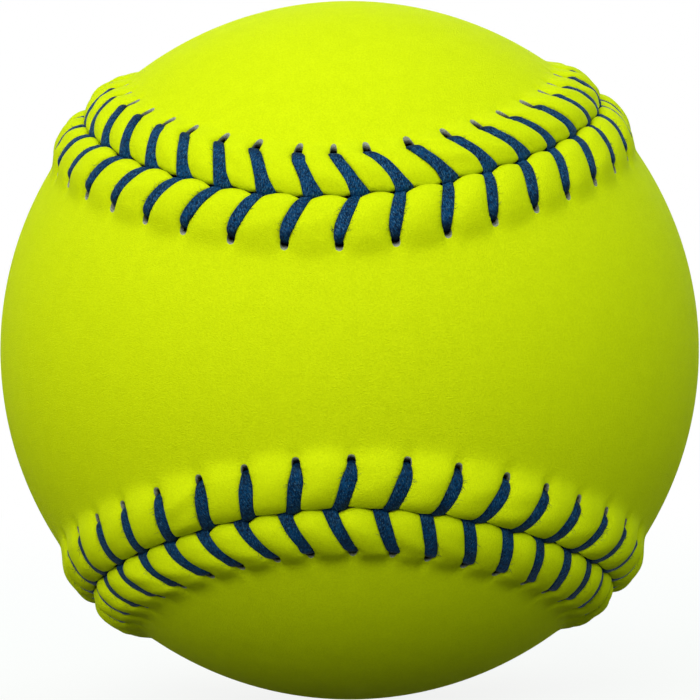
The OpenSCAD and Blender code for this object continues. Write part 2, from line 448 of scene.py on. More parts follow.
@dataclass
class CoverPanel:
    """One dumbbell-shaped leather panel with its rolled edge, pillows and stitch holes.

    Distances are from the seam, and heights are above the smooth ball.
    """

    seam: Seam
    side: Side
    node: str

    # The leather, and the tunnel under its ridge
    leather: float = 1.6 * MM
    band: float = 12.0 * MM
    tunnel_lip: float = 1.5 * MM
    tunnel_heel: float = 1.0 * MM
    tunnel_end: float = 10.0 * MM

    # The grooves that the threads lie in, and the leather that overhangs them
    groove_half: float = 0.8 * MM
    groove_depth: float = 1.0 * MM
    groove_fade: Span = (4.4 * MM, 8.8 * MM)
    arm_swing: float = -0.05 * MM
    mouth_extra: float = 0.0
    mouth_swing: float = -0.08 * MM
    mouth_span: Span = (0.2 * MM, 1.9 * MM)
    pinch_half: float = 0.48 * MM
    pinch_span: Span = (3.9 * MM, 6.3 * MM)
    overhang: float = 0.2 * MM
    overhang_share: float = 0.2
    overhang_fade: Span = (4.5 * MM, 7.0 * MM)

    # The stitch holes, and the puckers round them
    hole_from: float = 5.6 * MM
    hole_to: float = 7.3 * MM
    hole_slope: float = 0.9 * MM
    hole_cut: float = 0.0
    hole_squareness: float = 0.8
    hole_blend: Span = (1.0, 1.8)
    pucker: float = 0.14 * MM
    pucker_span: Span = (0.6 * MM, 1.7 * MM)
    pucker_stretch: float = 1.5

    # The pillows between the threads, and how they vary
    pillow_power: float = 2.2
    crest_wave: float = 0.07
    height_spread: float = 0.15 * MM
    tilt_spread: float = 0.1 * MM
    fold_spread: float = 0.05 * MM
    fold_length: float = 3.6 * MM
    fold_lean: float = 1.5
    spread_fade: Span = (4.0 * MM, 9.0 * MM)

    # The round edge at the cleft
    lip_open: float = 0.02 * MM
    lip_back: float = 0.48 * MM
    lip_span: Span = (0.42, 0.86)
    roll: float = 0.85 * MM
    groove_roll_share: float = 0.45
    roll_turn_guess: float = 1.2
    roll_rounds: int = 4

    # The painted shade in the grooves beside the threads and in the cleft
    shade_share_span: Span = (0.5, 0.66)
    shade_fade: Span = (5.8 * MM, 7.6 * MM)
    cleft_shade_span: Span = (0.1 * MM, 0.8 * MM)

    # The rows and rings of the mesh
    first_row: float = 1.25 * MM
    row_gap: float = 0.2 * MM
    near_step: float = 0.44 * MM
    even_span: Span = (2.4 * MM, 4.6 * MM)
    inner_fan: int = 4
    inner_rings: int = 18
    last_ring_share: float = 0.985
    tolerance: float = 0.01 * MM

    crest_table = np.array([
        [0.0, 0.8], [0.6, 1.3], [1.2, 1.66], [2.0, 1.9], [3.0, 1.98], [4.0, 1.9], [5.0, 1.68],
        [6.0, 1.28], [7.0, 0.68], [7.8, 0.24], [8.4, 0.05], [9.1, 0.0], [12.0, 0.0]]) * MM
    column_shares = np.array([0.0, 0.2, 0.36, 0.46, 0.5, 0.53, 0.57, 0.63, 0.72, 0.82, 0.91])
    far_rows = np.array([0.2, 0.5, 0.9, 1.5, 2.3, 3.4]) * MM
    crest_steps = 481
    crest_kernel = 41
    roll_row_count = 7
    hole_row_count = 7

    @property
    def columns(self) -> np.ndarray:
        """The signed shares of a stitch's columns: 0.5 at a groove's edge, 1 mid-pillow."""
        shares = self.column_shares
        return np.concatenate([[-1.0], -shares[:0:-1], shares])

    @property
    def hole_middle(self) -> float:
        """The distance from the seam to the middle of a hole."""
        return (self.hole_from + self.hole_to) / 2.0

    @property
    def hole_reach(self) -> float:
        """Half the length of a hole."""
        return (self.hole_to - self.hole_from) / 2.0

    def groove_width(self, stitch: np.ndarray, distance: np.ndarray) -> np.ndarray:
        """Gives half the width of a groove, which is pinched at its hole.

        Args:
            stitch: Whole stitch numbers.
            distance: Distances from the seam.

        Returns:
            Half widths.
        """
        pinch = smooth_step(*self.pinch_span, distance)
        mouth = 1.0 - smooth_step(*self.mouth_span, distance)
        wave = self.seam.wave(stitch)
        extra = self.mouth_extra + self.mouth_swing * wave
        wide = self.groove_half + self.arm_swing * wave + extra * mouth
        return wide * (1.0 - pinch) + self.pinch_half * pinch

    def crest(self, distance: np.ndarray) -> np.ndarray:
        """Gives the height of the pillows' tops on a smooth curve through the table.

        Args:
            distance: Distances from the seam.

        Returns:
            Heights above the smooth ball.
        """
        steps = np.linspace(0.0, self.band, self.crest_steps)
        raw = np.interp(steps, self.crest_table[:, 0], self.crest_table[:, 1])
        kernel = np.hanning(self.crest_kernel)
        padded = np.pad(raw, self.crest_kernel // 2, mode="edge")
        soft = np.convolve(padded, kernel / kernel.sum(), mode="valid")
        return np.interp(distance, steps, soft)

    def depth(self, distance: np.ndarray) -> np.ndarray:
        """Gives the depth of the grooves between the pillows."""
        return self.groove_depth * (1.0 - smooth_step(*self.groove_fade, distance))

    def groove_floor(self, distance: np.ndarray) -> np.ndarray:
        """Gives the height of the leather under a thread."""
        return self.crest(distance) - self.depth(distance)

    def surface(self, stitch: np.ndarray, share: np.ndarray, distance: np.ndarray) -> np.ndarray:
        """Gives the height of the leather's outer face.

        Args:
            stitch: Whole stitch numbers.
            share: Signed column shares.
            distance: Distances from the seam.

        Returns:
            Heights above the smooth ball.
        """
        t = np.clip((np.abs(share) - 0.5) / 0.5, 0.0, 1.0)
        power = self.pillow_power
        swell = (1.0 - (1.0 - t) ** power) ** (1.0 / power)
        count = self.seam.stitch_count
        rng = np.random.default_rng(SEED + self.side.value)
        high, tilt, fold = rng.normal(0.0, 1.0, (3, count))
        phase = rng.uniform(0.0, 2.0 * math.pi, count)
        after = np.where(share >= 0.0, stitch, stitch - 1) % count
        along = np.where(share >= 0.0, t - 1.0, 1.0 - t)
        fade = 1.0 - smooth_step(*self.spread_fade, distance)
        turn = 2.0 * math.pi * distance / self.fold_length + phase[after] + self.fold_lean * along
        waved = np.cos(turn)
        own = self.height_spread * high[after] + self.tilt_spread * tilt[after] * along
        own = own + self.fold_spread * fold[after] * waved
        own = own - self.crest_wave * self.seam.wave(stitch) * self.crest(distance)
        height = self.crest(distance) + own * fade * swell
        return height - self.depth(distance) * (1.0 - swell)

    def lip_end(
        self, stitch: np.ndarray, share: np.ndarray, lip: np.ndarray, roll: np.ndarray
    ) -> tuple[np.ndarray, np.ndarray, np.ndarray]:
        """Finds where the round edge at the cleft runs into the pillows' tops.

        Args:
            stitch: Whole stitch numbers.
            share: Signed column shares.
            lip: Distances from the seam to the edge's upright face.
            roll: The edge's radii.

        Returns:
            Distances, heights, and the edge's turns in radians, from upright.
        """
        turn = np.full(np.shape(lip), self.roll_turn_guess)
        for _ in range(self.roll_rounds):
            distance = lip + roll * (1.0 - np.cos(turn))
            height = self.surface(stitch, share, distance)
            further = self.surface(stitch, share, distance + self.near_step)
            turn = np.arctan2(self.near_step, np.clip(further - height, 0.0, 2.0 * self.near_step))
        return distance, height, turn

    def offset(self, stitch: np.ndarray, share: np.ndarray, distance: np.ndarray) -> np.ndarray:
        """Gives a column's distance along the seam from its stitch's middle line.

        Args:
            stitch: Whole stitch numbers.
            share: Signed column shares.
            distance: Distances from the seam.

        Returns:
            Signed distances, in pitches.
        """
        half = self.groove_width(stitch, distance) / self.seam.pitch
        size = np.abs(share)
        inner = half * size / 0.5
        outer = half + (0.5 - half) * (size - 0.5) / 0.5
        lean = np.sin(math.pi * np.clip((size - 0.5) / self.overhang_share, 0.0, 1.0))
        fade = 1.0 - smooth_step(*self.overhang_fade, distance)
        outer = outer - self.overhang / self.seam.pitch * lean * fade
        return np.sign(share) * np.where(size <= 0.5, inner, outer)

    def round_hole(
        self, share: np.ndarray, distance: np.ndarray
    ) -> tuple[np.ndarray, np.ndarray]:
        """Bends the grid round a hole, so that a block of its cells fits an oval.

        Args:
            share: Signed column shares.
            distance: Distances from the seam.

        Returns:
            The bent shares and distances.
        """
        x = share / 0.5
        y = (distance - self.hole_middle) / self.hole_reach
        square = np.maximum(np.abs(x), np.abs(y))
        circle = np.sqrt(x * x + y * y) + 1e-9
        keep = smooth_step(*self.hole_blend, square)
        scale = keep + (1.0 - keep) * (square / circle) ** self.hole_squareness
        return x * scale * 0.5, self.hole_middle + y * scale * self.hole_reach

    def shortening(self, stitch: np.ndarray, distance: np.ndarray) -> np.ndarray:
        """Gives how far a hole's far end is drawn in where the seam runs below the middle.

        Args:
            stitch: Whole stitch numbers.
            distance: Distances from the seam.

        Returns:
            Distances towards the seam.
        """
        inside = smooth_step(self.hole_from, self.hole_to, distance)
        beyond = smooth_step(self.hole_to, self.band, distance)
        return self.hole_cut * (0.5 - 0.5 * self.seam.wave(stitch)) * inside * (1.0 - beyond)

    def row_table(self) -> tuple[list[tuple[Row, float]], list[int]]:
        """Lists the rows of the outer face, from the cleft out to the smooth leather.

        Returns:
            Pairs of a kind of row and its own measure, and the numbers of the hole's rows.
        """
        rolls = [(Row.ROLL, share) for share in np.linspace(0.0, 1.0, self.roll_row_count)]
        steps = round((self.hole_from - self.first_row) / self.near_step)
        near = np.linspace(self.first_row, self.hole_from, 1 + steps)
        hole = np.linspace(self.hole_from, self.hole_to, self.hole_row_count)
        tops = np.concatenate([near[:-1], hole, self.hole_to + self.far_rows, [self.band]])
        rows = [(Row.WALL, 0.5), *rolls, *((Row.TOP, distance) for distance in tops)]
        low = len(rows) - len(tops) + len(near) - 1
        return rows, list(range(low, low + self.hole_row_count))

    def build(self) -> bpy.types.Object:
        """Makes the panel's mesh.

        Returns:
            The panel's object, without materials.
        """
        parts = MeshParts()
        shares = self.columns
        count = self.seam.stitch_count
        wide = count * len(shares)
        stitch = np.repeat(np.arange(count), len(shares))
        share = np.tile(shares, count)
        rows, hole_rows = self.row_table()
        points, bent, distance, crease = self.outer_grid(rows, stitch, share)
        outer = parts.add_points(points, crease=crease)
        open_cells = np.zeros((len(rows) - 1, wide), dtype=bool)
        edge = np.where(np.isclose(np.abs(shares), 0.5))[0]
        for column in range(edge[0], edge[1]):
            open_cells[hole_rows[0]:hole_rows[-1], column::len(shares)] = True
        parts.add_faces(grid_faces(outer, len(rows), wide)[~open_cells])
        tops = [n for n, row in enumerate(rows) if row[0] is Row.TOP]
        # The inner face needs few rows, but it has to meet every row of the holes.
        chosen = [0, tops[5], *hole_rows, hole_rows[-1] + 2, tops[-3], tops[-1]]
        inner = self.add_inner(parts, chosen, stitch, bent, distance, open_cells)
        k = np.arange(wide)
        beside = (k + 1) % wide
        lip = np.stack([inner + k, inner + beside, outer + beside, outer + k], axis=-1)
        parts.add_faces(lip, Face.CUT.value)
        self.add_hole_walls(parts, outer, inner, chosen, open_cells)
        self.add_smooth(parts, outer + (len(rows) - 1) * wide, wide, Face.DYED)
        self.add_smooth(parts, inner + (len(chosen) - 1) * wide, wide, Face.CUT)
        return parts.build(self.node + "_leather", self.side is Side.FRONT)

    def dress(
        self, piece: bpy.types.Object, dyed: bpy.types.Material, cut: bpy.types.Material
    ) -> None:
        """Dresses the panel in dyed leather with raw cut edges."""
        take_place(piece, self.node, "optic_yellow_leather", dyed, cut)

    def outer_grid(
        self, rows: list[tuple[Row, float]], stitch: np.ndarray, share: np.ndarray
    ) -> tuple[np.ndarray, np.ndarray, np.ndarray, np.ndarray]:
        """Works out the points of the outer face.

        Args:
            rows: The rows, as row_table lists them.
            stitch: The stitch number of each column.
            share: The signed share of each column.

        Returns:
            The points, their shares, their distances, and how much painted shade they take in the
            grooves and at the cleft.
        """
        seam = self.seam
        pillow = smooth_step(*self.lip_span, np.abs(share))
        lip = self.lip_open + (self.lip_back - self.lip_open) * (1.0 - pillow)
        roll = self.roll * (self.groove_roll_share + (1.0 - self.groove_roll_share) * pillow)
        ended, crown, whole = self.lip_end(stitch, share, lip, roll)
        drop = crown - roll * np.sin(whole)
        foot = self.tunnel_lip - self.leather
        start = self.first_row - self.row_gap
        blocks = []
        for kind, measure in rows:
            bent = share
            if kind is Row.WALL:
                distance = lip
                height = foot + (drop - foot) * measure
            elif kind is Row.ROLL:
                distance = lip + roll * (1.0 - np.cos(measure * whole))
                height = drop + roll * np.sin(measure * whole)
            else:
                # Rows near the cleft start from each column's own round edge.
                spaced = ended + (measure - start) * (self.band - ended) / (self.band - start)
                blend = smooth_step(*self.even_span, np.full_like(share, measure))
                distance = spaced * (1.0 - blend) + measure * blend
                bent, distance = self.round_hole(share, distance)
                distance = distance - self.shortening(stitch, distance)
                away = self.offset(stitch, bent, distance) * seam.pitch
                near = np.hypot(away, (distance - self.hole_middle) / self.pucker_stretch)
                dip = self.pucker * (1.0 - smooth_step(*self.pucker_span, near))
                height = self.surface(stitch, bent, distance) - dip
            # Painted shade: darker in the grooves beside the threads, fading out past the holes, and at
            # the cleft.
            groove = 1.0 - smooth_step(*self.shade_share_span, np.abs(bent))
            fade = 1.0 - smooth_step(*self.shade_fade, distance)
            cleft = 1.0 - smooth_step(*self.cleft_shade_span, distance)
            run = seam.arm_run(self.side, stitch + self.offset(stitch, bent, distance), distance)
            place = seam.place(run, self.side.value * distance, height)
            blocks.append((place, bent, distance, np.maximum(groove * fade, cleft)))
        return tuple(np.stack(column) for column in zip(*blocks))

    def tunnel(self, distance: np.ndarray) -> np.ndarray:
        """Gives the height of the leather's inner face, which leaves a tunnel for the threads.

        Args:
            distance: Distances from the seam.

        Returns:
            Heights above the smooth ball.
        """
        lift = np.interp(
            distance,
            [0.0, self.seam.heel_distance, self.tunnel_end],
            [self.tunnel_lip, self.tunnel_heel, 0.0],
        )
        return lift - self.leather

    def add_inner(
        self,
        parts: MeshParts,
        chosen: list[int],
        stitch: np.ndarray,
        bent: np.ndarray,
        distance: np.ndarray,
        open_cells: np.ndarray,
    ) -> int:
        """Adds the inner face of the band, on a few of the outer face's rows.

        Args:
            parts: The mesh so far.
            chosen: The numbers of those rows.
            stitch: The stitch number of each column.
            bent: The share of each of the outer face's points.
            distance: The distance from the seam of each of them.
            open_cells: The outer face's cells that are open for holes.

        Returns:
            The number of the inner face's first point.
        """
        share = bent[chosen]
        away = distance[chosen]
        far = np.clip((away - self.hole_middle) / self.hole_reach, 0.0, 1.0)
        # The far wall of a hole slants, so that its cut face can be seen from above.
        in_hole = away <= self.hole_to + self.tolerance
        away = away - self.hole_slope * np.where(in_hole, far, 0.0)
        run = self.seam.arm_run(self.side, stitch + self.offset(stitch, share, away), away)
        points = self.seam.place(run, self.side.value * away, self.tunnel(away))
        # Painted shade: the inner face, seen only down the holes, is dark all over.
        first = parts.add_points(points, crease=np.ones(points.shape[:2]))
        quads = grid_faces(first, len(chosen), points.shape[1])
        kept = ~open_cells[chosen[:-1]]
        parts.add_faces(quads[kept][:, ::-1], Face.CUT.value)
        return first

    def add_hole_walls(
        self,
        parts: MeshParts,
        outer: int,
        inner: int,
        chosen: list[int],
        open_cells: np.ndarray,
    ) -> None:
        """Joins the two faces round every stitch hole with walls of cut leather.

        Args:
            parts: The mesh so far.
            outer: The number of the outer face's first point.
            inner: The number of the inner face's first point.
            chosen: The outer rows that the inner face follows.
            open_cells: The outer face's cells that are open for holes.
        """
        wide = open_cells.shape[1]
        inner_row = {row: n for n, row in enumerate(chosen)}
        faces = []
        for row, column in zip(*np.where(open_cells)):
            after = (column + 1) % wide
            corners = [(row, column), (row, after), (row + 1, after), (row + 1, column)]
            near = [(row - 1, column), (row, after), (row + 1, column), (row, column - 1)]
            for n in range(4):
                if open_cells[near[n]]:
                    continue
                a, b = corners[n], corners[(n + 1) % 4]
                faces.append([
                    outer + a[0] * wide + a[1],
                    outer + b[0] * wide + b[1],
                    inner + inner_row[b[0]] * wide + b[1],
                    inner + inner_row[a[0]] * wide + a[1],
                ])
        # Painted shade: each wall darkens from the outer face's share at its top to the inner face's
        # full share at its foot.
        parts.add_faces(np.array(faces), Face.CUT.value)

    def add_smooth(self, parts: MeshParts, band_row: int, wide: int, face: Face) -> None:
        """Adds the smooth face from the band to the panel's middle line.

        Args:
            parts: The mesh so far.
            band_row: The number of the first point of the band's last row.
            wide: How many points that row has.
            face: DYED for the outer face and CUT for the inner one.
        """
        count = wide // self.inner_fan
        edge_points = np.concatenate(parts.points)[band_row:band_row + wide:self.inner_fan]
        radius = self.seam.radius - (self.leather if face is Face.CUT else 0.0)
        edge = unit(edge_points)
        middle = self.seam.middle_direction(self.side, edge)
        whole = np.arccos(np.clip((edge * middle).sum(axis=1), -1.0, 1.0))[:, None]
        shares = np.append(np.arange(1, self.inner_rings) / self.inner_rings, self.last_ring_share)
        rings = np.stack([
            radius * unit(edge * np.sin((1.0 - share) * whole) + middle * np.sin(share * whole))
            for share in shares])
        # Painted shade: the inner, cut face is dark all over, and the outer face takes none.
        first = parts.add_points(rings, crease=np.full(rings.shape[:2], float(face.value)))
        last = first + (len(shares) - 1) * count
        # The last ring is long and narrow. Quads across it, from tip to tip, close the face.
        axis, cross = (0, 2) if self.side is Side.FRONT else (2, 0)
        ring = rings[-1]
        crossing = (ring[:, cross] >= 0.0) != (np.roll(ring[:, cross], -1) >= 0.0)
        tip = int(np.where(crossing & (ring[:, axis] > 0.0))[0][0]) + 1
        k = np.arange(count // 2 - 1)
        pairs = [tip + k, tip + k + 1, tip - k - 2, tip - k - 1]
        closing = np.stack([last + pair % count for pair in pairs], axis=-1)
        blocks = [
            fan_faces(band_row, first, count, self.inner_fan),
            grid_faces(first, len(shares), count).reshape(-1, 4),
            closing,
        ]
        for block in blocks:
            parts.add_faces(block[:, ::-1] if face is Face.CUT else block, face.value)


@dataclass
class ThreadPath:
    """Rings of a thread's path beside the seam, for one arm or for one run underneath."""

    across: np.ndarray
    height: np.ndarray
    out_across: np.ndarray
    out_height: np.ndarray
    half_width: np.ndarray
    half_thick: np.ndarray
    travel: np.ndarray
    soil: np.ndarray


@dataclass
class Ribbon:
    """A thread's rings of points, with their places along it and how much painted shade they take."""

    rings: list[np.ndarray] = field(default_factory=list)
    lays: list[np.ndarray] = field(default_factory=list)
    shades: list[np.ndarray] = field(default_factory=list)
    travelled: float = 0.0


def trace(path: np.ndarray, step: float) -> tuple[np.ndarray, np.ndarray, np.ndarray]:
    """Spaces points evenly along a polyline and finds its direction at each.

    Args:
        path: The polyline's points, in two columns.
        step: The distance between the new points, at most.

    Returns:
        The new points, unit tangents, and the distances travelled.
    """
    lengths = np.concatenate([[0.0], np.cumsum(np.linalg.norm(np.diff(path, axis=0), axis=1))])
    travel = np.linspace(0.0, lengths[-1], 2 + int(lengths[-1] / step))
    points = np.stack([np.interp(travel, lengths, path[:, n]) for n in (0, 1)], axis=-1)
    tangents = unit(np.gradient(points, axis=0))
    return points, tangents, travel


def arc(centre: tuple[float, float], radius: float, start: float, end: float) -> np.ndarray:
    """Lists points of an arc, with its angles in degrees."""
    turn = np.radians(np.linspace(start, end, 13))
    return np.stack([centre[0] + radius * np.cos(turn), centre[1] + radius * np.sin(turn)], axis=-1)


@dataclass(frozen=True)
class ArmShade:
    """How much painted shade a thread's arms take: all over, and more towards one end.

    The shares called low are painted shade added on the seam below the middle of the front.
    """

    span: Span
    least: float
    low_end: float
    low_all_over: float

    def amount(self, low: float, across: np.ndarray) -> np.ndarray:
        """Gives how much painted shade an arm takes.

        Args:
            low: 0 for the seam's uppermost arms and 1 for its lowest.
            across: Distances from the seam, whose span runs from the unshaded end to the other.

        Returns:
            Amounts of painted shade, from 0 to 1.
        """
        end = (self.least + self.low_end * low) * smooth_step(*self.span, across)
        return self.low_all_over * low + end


@dataclass
class NeedleThread:
    """One needle's flat waxed thread, which works the front and the back by turns."""

    seam: Seam
    panels: dict[Side, CoverPanel]
    first_side: Side
    node: str

    # The ribbon, its neck in the holes, and its plies
    half_thick: float = 0.3 * MM
    neck_half: float = 0.38 * MM
    neck_depth: float = 1.1 * MM
    tuck: float = 0.08 * MM
    tuck_loss: float = 0.7
    ply_depth: float = 0.022 * MM
    ply_width: float = 0.62 * MM
    ply_slant: float = 0.9
    squareness: float = 0.72
    section_points: int = 18

    # Its path over and under the leather
    room: float = 0.01 * MM
    run_height: float = -1.33 * MM
    hole_turn: float = 1.0 * MM
    hole_inset: float = 0.4 * MM
    under_turn: float = 0.45 * MM
    ring_step: float = 0.205 * MM
    under_step_share: float = 3.0
    over_points: int = 30

    # The painted shade near the holes and in the cleft
    hole_shade: float = 1.6
    hole_shade_swing: float = 0.7
    cleft_shade_span: Span = (-0.2 * MM, 0.7 * MM)

    # The loose fibres
    fuzz_half: float = 0.024 * MM
    fuzz_taper: float = 0.5
    fuzz_from: float = 1.2 * MM
    fuzz_to: float = 5.3 * MM
    fuzz_crowding: float = 0.7
    fuzz_root: float = 0.495
    fuzz_flare: float = 0.04
    fuzz_reach: float = 0.16
    fuzz_drift: float = 0.4 * MM
    fuzz_lift: float = 0.12 * MM
    fuzz_darkening: float = 0.5

    fuzz_counts = {Side.FRONT: 34, Side.BACK: 16}
    arm_shade = {
        Side.FRONT: ArmShade((3.8 * MM, 0.4 * MM), least=0.1, low_end=0.4, low_all_over=0.3),
        Side.BACK: ArmShade((2.2 * MM, 5.4 * MM), least=0.05, low_end=0.3, low_all_over=0.4),
    }

    def hole_drop(self, panel: CoverPanel) -> float:
        """The distance from the seam at which the thread goes down into its hole."""
        return panel.hole_from + self.hole_inset

    def cleft_drop(self, panel: CoverPanel) -> float:
        """The distance from the seam at which the thread goes down into the cleft."""
        return panel.lip_back - self.half_thick - self.room

    def arm(self, panel: CoverPanel, stitch: np.ndarray) -> ThreadPath:
        """Works out an arm, from its hole's foot over the leather to the cleft's foot.

        Args:
            panel: The panel that the arm lies on.
            stitch: The arm's stitch number.

        Returns:
            The arm's rings.
        """
        rise = self.half_thick + self.room
        drop = self.hole_drop(panel)
        turn = self.hole_turn
        lip_roll = panel.roll * panel.groove_roll_share
        centre = panel.lip_back + lip_roll
        lip = np.array(panel.lip_back)
        ended, crown, whole = panel.lip_end(np.array(0), np.array(0.0), lip, np.array(lip_roll))
        below = float(crown - lip_roll * np.sin(whole))
        top = float(panel.groove_floor(np.array([drop - turn]))[0]) + rise
        over = np.linspace(drop - turn, float(ended), self.over_points)[1:-1]
        path = np.concatenate([
            [[drop, self.run_height + self.under_turn]],
            arc((drop - turn, top - turn), turn, 0.0, 90.0),
            np.stack([over, panel.groove_floor(over) + rise], axis=-1),
            arc((centre, below), lip_roll + rise, 180.0 - math.degrees(float(whole)), 180.0),
            [[centre - lip_roll - rise, self.run_height + self.under_turn]],
        ])
        points, tangents, travel = trace(path, self.ring_step)
        across, height = points.T
        depth = below - height
        sunk = smooth_step(0.0, self.neck_depth, depth)
        near = smooth_step(*panel.pinch_span, across)
        full = panel.groove_width(stitch, across) + self.tuck * (1.0 - self.tuck_loss * near)
        width = full * (1.0 - sunk) + self.neck_half * sunk
        # Painted shade: the arm darkens where it dives into its hole and into the cleft, towards one
        # end, and more on the seam below the middle of the front.
        low = 0.5 - 0.5 * float(self.seam.wave(stitch))
        shaded_from = drop - (self.hole_shade - self.hole_shade_swing * low) * turn
        soil = np.maximum.reduce([
            smooth_step(shaded_from, drop, across),
            smooth_step(*self.cleft_shade_span, depth),
            self.arm_shade[panel.side].amount(low, across),
        ])
        return ThreadPath(
            across, height, tangents[:, 1], -tangents[:, 0], width,
            np.full_like(width, self.half_thick), travel, soil)

    def under(self, start: float, end: float) -> ThreadPath:
        """Works out a run under the leather, from one arm to the next panel's hole.

        Args:
            start: Where the arm goes down, from the seam.
            end: Where the next arm comes up, from the seam on its far side.

        Returns:
            The run's rings, with distances positive on the far side.
        """
        turn = self.under_turn
        low = self.run_height + turn
        path = np.concatenate([
            arc((turn - start, low), turn, 180.0, 270.0),
            arc((end - turn, low), turn, 270.0, 360.0),
        ])
        points, tangents, travel = trace(path, self.under_step_share * self.ring_step)
        width = np.full(len(points) - 2, self.neck_half)
        inner = slice(1, -1)
        # Painted shade: the run under the leather is dark all over.
        return ThreadPath(
            points[inner, 0], points[inner, 1], -tangents[inner, 1], tangents[inner, 0], width,
            np.full_like(width, self.half_thick), travel[inner], np.ones_like(width))

    def build(self) -> bpy.types.Object:
        """Makes the thread's mesh.

        Returns:
            The thread's object, without its material.
        """
        seam = self.seam
        drops = {side: self.hole_drop(panel) for side, panel in self.panels.items()}
        clefts = {side: self.cleft_drop(panel) for side, panel in self.panels.items()}
        unders = {side: self.under(clefts[side], drops[side.other]) for side in Side}
        ribbon = Ribbon()
        for stitch in range(seam.stitch_count):
            side = self.first_side if stitch % 2 == 0 else self.first_side.other
            flip = 1.0 if stitch % 2 == 0 else -1.0
            number = np.array(float(stitch))
            path = self.arm(self.panels[side], number)
            run = seam.arm_run(side, number, np.maximum(path.across, 0.0))
            self.add_rings(ribbon, path, side.value, flip, run)
            if stitch == seam.stitch_count - 1:
                break
            path = unders[side]
            share = (path.across + clefts[side]) / (drops[side.other] + clefts[side])
            start = seam.arm_run(side, number, np.array(clefts[side]))
            end = seam.arm_run(side.other, number + 1.0, np.array(drops[side.other]))
            run = start + (end - start) * share
            self.add_rings(ribbon, path, -side.value, flip, run)
        return self.join(ribbon)

    def dress(self, piece: bpy.types.Object, waxed: bpy.types.Material) -> None:
        """Dresses the thread in its waxed finish."""
        take_place(piece, self.node, "waxed_navy_thread", waxed)

    @property
    def section(self) -> tuple[np.ndarray, np.ndarray]:
        """The outline of the thread's cross-section, a flat rounded oval.

        Returns:
            The points' places across the thread and through it, from -1 to 1.
        """
        angle = np.linspace(0.0, 2.0 * math.pi, self.section_points, endpoint=False)
        wide = np.sign(np.cos(angle)) * np.abs(np.cos(angle)) ** self.squareness
        thick = np.sign(np.sin(angle)) * np.abs(np.sin(angle)) ** self.squareness
        return wide, thick

    def add_rings(
        self, ribbon: Ribbon, path: ThreadPath, sign: int, flip: float, run: np.ndarray
    ) -> None:
        """Adds the rings of one arm or one run underneath.

        Args:
            ribbon: The thread so far.
            path: The path beside the seam.
            sign: 1 where the path's distances are on the back's side, or else -1.
            flip: 1 or -1, for which face of the thread looks outwards.
            run: The distance along the seam of each ring.
        """
        wide, thick = self.section
        beside = path.half_width[:, None] * wide
        along = (ribbon.travelled + path.travel)[:, None] + 0.0 * beside
        turn = (beside + self.ply_slant * along) * math.pi / self.ply_width
        relief = self.ply_depth * (np.abs(np.sin(turn)) - 0.5)
        through = flip * thick * (path.half_thick[:, None] + relief)
        across = sign * (path.across[:, None] + path.out_across[:, None] * through)
        height = path.height[:, None] + path.out_height[:, None] * through
        ribbon.rings.append(self.seam.place(run[:, None] + beside, across, height))
        ribbon.lays.append(np.stack([along, beside, through], axis=-1))
        ribbon.shades.append(path.soil)
        ribbon.travelled += float(path.travel[-1])

    def join(self, ribbon: Ribbon) -> bpy.types.Object:
        """Joins the rings into one tube with closed ends, and adds the loose fibres.

        Args:
            ribbon: The whole thread.

        Returns:
            The thread's object.
        """
        parts = MeshParts()
        rings = np.concatenate(ribbon.rings)
        count, size = rings.shape[:2]
        shades = np.repeat(np.concatenate(ribbon.shades), size)
        parts.add_points(rings, lay=np.concatenate(ribbon.lays), crease=shades)
        half = np.arange(size // 2 - 1)
        last = (count - 1) * size
        cap = np.stack([half, half + 1, size - half - 2, (size - half - 1) % size], axis=-1)
        way = self.first_side.value
        for faces in (grid_faces(0, count, size), cap[:, ::-1], cap + last):
            parts.add_faces(faces[..., ::way])
        for side in Side:
            self.add_fuzz(parts, side)
        return parts.build(self.node + "_waxed", False)

    def add_fuzz(self, parts: MeshParts, side: Side) -> None:
        """Adds loose fibres along the edges of the arms on one panel.

        Args:
            parts: The thread's mesh so far.
            side: The panel.
        """
        seam, panel = self.seam, self.panels[side]
        rng = np.random.default_rng(SEED + 10 * self.first_side.value + side.value)
        first = 0 if side is self.first_side else 1
        stitch = np.repeat(np.arange(first, seam.stitch_count, 2), self.fuzz_counts[side])
        count = len(stitch)
        along = np.linspace(0.0, 1.0, 3)
        edge = rng.choice([-1.0, 1.0], count)[:, None]
        reach = self.fuzz_reach * rng.random(count)[:, None] ** 2
        share = edge * (self.fuzz_root + (self.fuzz_flare + reach) * along)
        crowded = rng.random(count) ** self.fuzz_crowding
        start = self.fuzz_from + (self.fuzz_to - self.fuzz_from) * crowded
        drift = rng.normal(0.0, self.fuzz_drift, (count, 1)) * along ** 1.5
        distance = start[:, None] + drift
        lift = self.fuzz_lift * rng.random((count, 1)) * along ** 2 + self.fuzz_half
        height = panel.surface(stitch[:, None], share, distance) + lift
        offset = panel.offset(stitch[:, None], share, distance)
        run = seam.arm_run(side, stitch[:, None] + offset, distance)
        middle = seam.place(run, side.value * distance, height)
        ahead = unit(np.gradient(middle, axis=1))
        outward = unit(middle)
        aside = unit(np.cross(ahead, outward))
        above = np.cross(aside, ahead)
        # Each fibre is a thin three-sided cone: two rings of three points, and a tip.
        turn = np.radians([90.0, 210.0, 330.0])
        thin = self.fuzz_half * (1.0 - self.fuzz_taper * along)[:, None, None]
        ring = aside[:, :, None] * np.cos(turn)[:, None] + above[:, :, None] * np.sin(turn)[:, None]
        points = (middle[:, :, None] + thin * ring)[:, :2]
        marked = middle[:, :2, None].repeat(3, axis=2)
